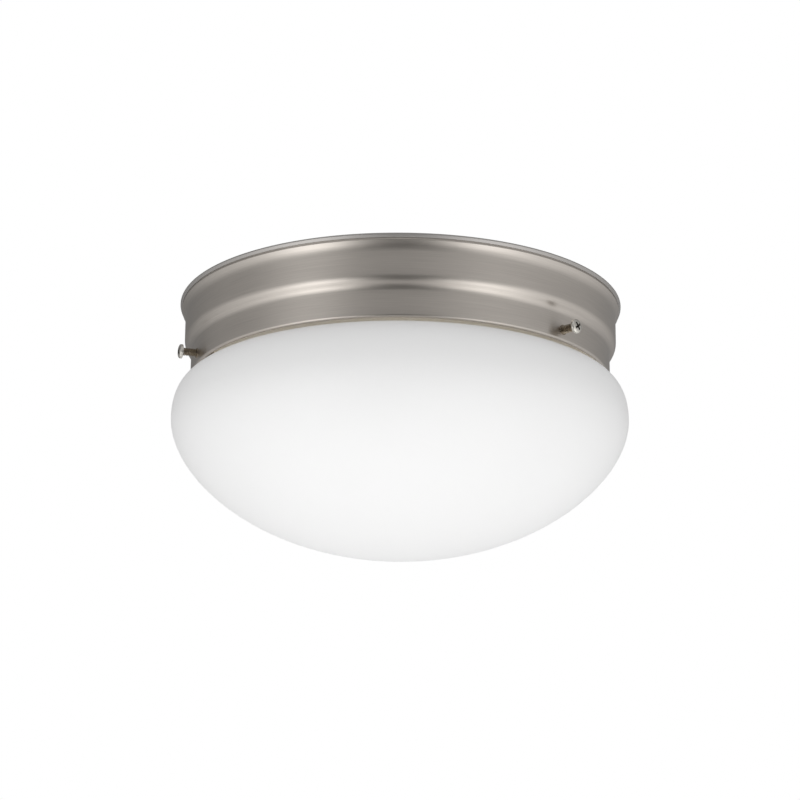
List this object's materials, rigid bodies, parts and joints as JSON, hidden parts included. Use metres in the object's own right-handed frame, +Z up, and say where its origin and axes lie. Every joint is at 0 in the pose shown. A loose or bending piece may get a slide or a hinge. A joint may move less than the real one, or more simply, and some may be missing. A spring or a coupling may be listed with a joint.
{
  "type": "flush mount ceiling light",
  "caption": "Round flush mount ceiling light: stepped brushed nickel canopy and a white opal mushroom glass shade held by screws round its neck, with one lamp inside.",
  "frame": {"origin": "centre of the crossbar's top face, in the plane of the ceiling", "axes": "+Z up into the ceiling, -Y to the front of the pictured view, +X to its right and along the lamp's axis"},
  "size_m": [0.235, 0.235, 0.1295],
  "materials": {
    "brushed_nickel": "circumferentially brushed nickel plate, satin lacquer",
    "zinc_steel": "bright zinc plated pressed steel",
    "nickel_steel": "nickel plated turned screw",
    "green_steel": "green dyed zinc plate",
    "bare_copper": "bare drawn copper",
    "opal_glass": "blown opal white glass, smooth satin gloss",
    "frosted_glass": "inside frosted bulb",
    "clear_glass": "clear pressed glass",
    "black_glass": "black vitreous insulator",
    "porcelain": "white glazed porcelain",
    "thin_brass": "bright rolled brass",
    "cap_aluminium": "bright rolled aluminium",
    "solder": "dull tin solder",
    "tungsten": "dark drawn tungsten",
    "black_lead": "black insulated fixture wire",
    "white_lead": "white insulated fixture wire",
    "black_nylon": "black moulded nylon",
    "orange_plastic": "orange moulded shell",
    "soft_nylon": "natural soft nylon",
    "glass_fibre": "pressed yellow glass fibre"
  },
  "bodies": {
    "canopy": {"canopy_shell": "brushed_nickel", "back_plate": "brushed_nickel", "insulation_pad": "glass_fibre", "crossbar": "zinc_steel", "mounting_screws": "zinc_steel", "ground_screw": "green_steel", "ground_lead": "bare_copper", "ground_rivet": "zinc_steel", "clinch_nuts": "zinc_steel", "lamp_bracket": "zinc_steel", "bracket_rivets": "zinc_steel", "holder_body": "porcelain", "holder_screw": "zinc_steel", "screw_shell": "thin_brass", "centre_contact": "thin_brass", "lead_black": "black_lead", "lead_white": "white_lead", "lead_bushing": "black_nylon", "wire_connectors": "orange_plastic"},
    "shade": {"glass_shade": "opal_glass"},
    "lamp": {"lamp_envelope": "frosted_glass", "lamp_cap": "cap_aluminium", "lamp_insulator": "black_glass", "lamp_contact": "solder", "lamp_stem": "clear_glass", "lamp_filament": "tungsten"},
    "tip_right": {"screw_tip_right": "soft_nylon"},
    "screw_right": {"glass_screw_right": "nickel_steel"},
    "tip_left": {"screw_tip_left": "soft_nylon"},
    "screw_left": {"glass_screw_left": "nickel_steel"},
    "tip_back": {"screw_tip_back": "soft_nylon"},
    "screw_back": {"glass_screw_back": "nickel_steel"}
  },
  "joints": [
    {"name": "shade_lift", "type": "slide", "parent": "canopy", "child": "shade", "axis": [0, 0, 1], "range_m": [0, 0.0012]},
    {"name": "lamp_withdraw", "type": "slide", "parent": "canopy", "child": "lamp", "axis": [1, 0, 0], "range_m": [0, 0.025]},
    {"name": "right_screw_travel", "type": "slide", "parent": "canopy", "child": "tip_right", "axis": [0.7402, -0.6724, 0], "range_m": [0, 0.00556]},
    {"name": "right_screw_turn", "type": "hinge", "parent": "tip_right", "child": "screw_right", "pos_m": [0.08142, -0.07396, -0.0349], "axis": [0.7402, -0.6724, 0], "range_deg": [0, 2520]},
    {"name": "left_screw_travel", "type": "slide", "parent": "canopy", "child": "tip_left", "axis": [-0.9524, -0.3049, 0], "range_m": [0, 0.00556]},
    {"name": "left_screw_turn", "type": "hinge", "parent": "tip_left", "child": "screw_left", "pos_m": [-0.10476, -0.03354, -0.0349], "axis": [-0.9524, -0.3049, 0], "range_deg": [0, 2520]},
    {"name": "back_screw_travel", "type": "slide", "parent": "canopy", "child": "tip_back", "axis": [0.2122, 0.9772, 0], "range_m": [0, 0.00556]},
    {"name": "back_screw_turn", "type": "hinge", "parent": "tip_back", "child": "screw_back", "pos_m": [0.02334, 0.10749, -0.0349], "axis": [0.2122, 0.9772, 0], "range_deg": [0, 2520]}
  ],
  "couplings": [
    {"joint": "right_screw_turn", "follows": "right_screw_travel", "rad_per_m": 7915.8},
    {"joint": "left_screw_turn", "follows": "left_screw_travel", "rad_per_m": 7915.8},
    {"joint": "back_screw_turn", "follows": "back_screw_travel", "rad_per_m": 7915.8}
  ]
}
